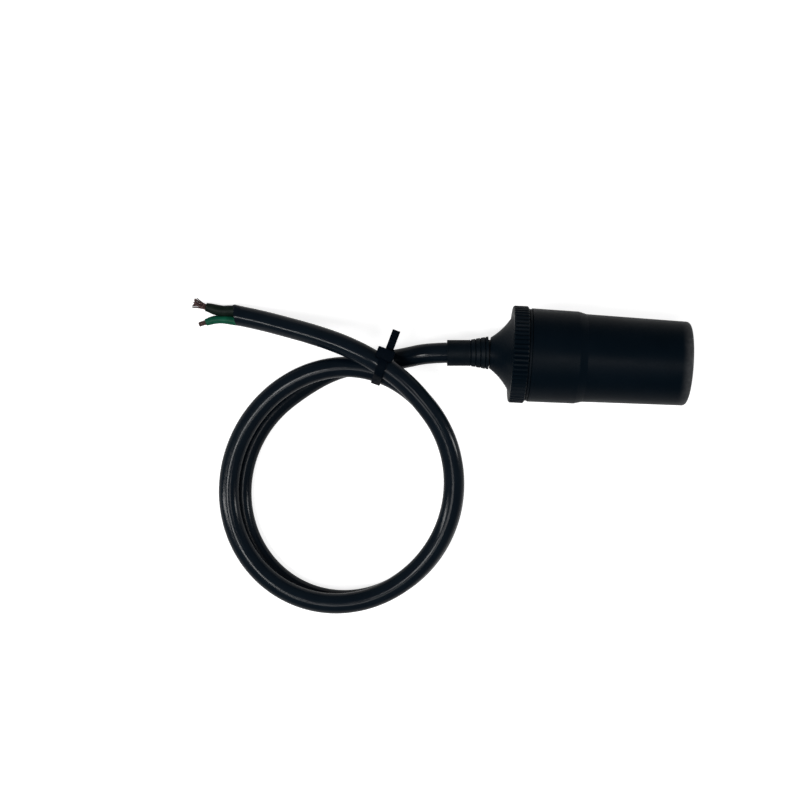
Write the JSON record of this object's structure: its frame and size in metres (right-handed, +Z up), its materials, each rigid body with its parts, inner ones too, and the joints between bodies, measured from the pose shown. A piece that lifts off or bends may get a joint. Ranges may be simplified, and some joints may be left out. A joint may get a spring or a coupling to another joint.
{
  "type": "car power socket",
  "caption": "In-line 12 V car power socket: black barrel with a metal-lined plug bore, knurled screw cap, ribbed bend sleeve and a tied coil of round cable with bare wire ends.",
  "frame": {"origin": "centre of the plug bore's mouth, on the bore's axis", "axes": "+X along the bore axis out of the mouth, +Z up from the surface that the socket and its coil lie on"},
  "size_m": [0.1643, 0.1052, 0.0318],
  "materials": {
    "housing_plastic": "satin black moulding",
    "shell_metal": "nickel-plated drawn steel",
    "bush_plastic": "dull brown insulating board",
    "contact_brass": "turned brass",
    "tag_brass": "tinned brass sheet",
    "sleeve_rubber": "soft black rubber",
    "cable_sheath": "black sheath with a soft sheen",
    "stop_aluminium": "crimped ring",
    "tie_nylon": "black nylon",
    "black_insulation": "dark charcoal insulation",
    "green_insulation": "dark green insulation",
    "copper_strands": "dull bare copper"
  },
  "bodies": {
    "socket": {"barrel_housing": "housing_plastic", "contact_shell": "shell_metal", "insulator_bush": "bush_plastic", "centre_contact": "contact_brass", "positive_tag": "tag_brass", "negative_tag": "tag_brass", "tag_rivet": "contact_brass", "cable_entry": "cable_sheath", "cable_lead": "cable_sheath", "cable_coil": "cable_sheath", "cable_tail": "cable_sheath", "cord_stop": "stop_aluminium", "cable_tie": "tie_nylon", "black_core": "black_insulation", "inner_black_core": "black_insulation", "green_core": "green_insulation", "inner_green_core": "green_insulation", "black_conductor": "copper_strands", "green_conductor": "copper_strands", "inner_black_conductor": "copper_strands", "inner_green_conductor": "copper_strands"},
    "sleeve": {"strain_relief": "sleeve_rubber"},
    "cap": {"rear_cap": "housing_plastic"}
  },
  "joints": [
    {"name": "cap_draw", "type": "slide", "parent": "socket", "child": "sleeve", "axis": [-1, 0, 0], "range_m": [0, 0.003]},
    {"name": "cap_turn", "type": "hinge", "parent": "sleeve", "child": "cap", "pos_m": [-0.0572, 0, 0], "axis": [-1, 0, 0], "range_deg": [0, 720.5]}
  ],
  "couplings": [
    {"joint": "cap_turn", "follows": "cap_draw", "rad_per_m": 4188.8}
  ]
}
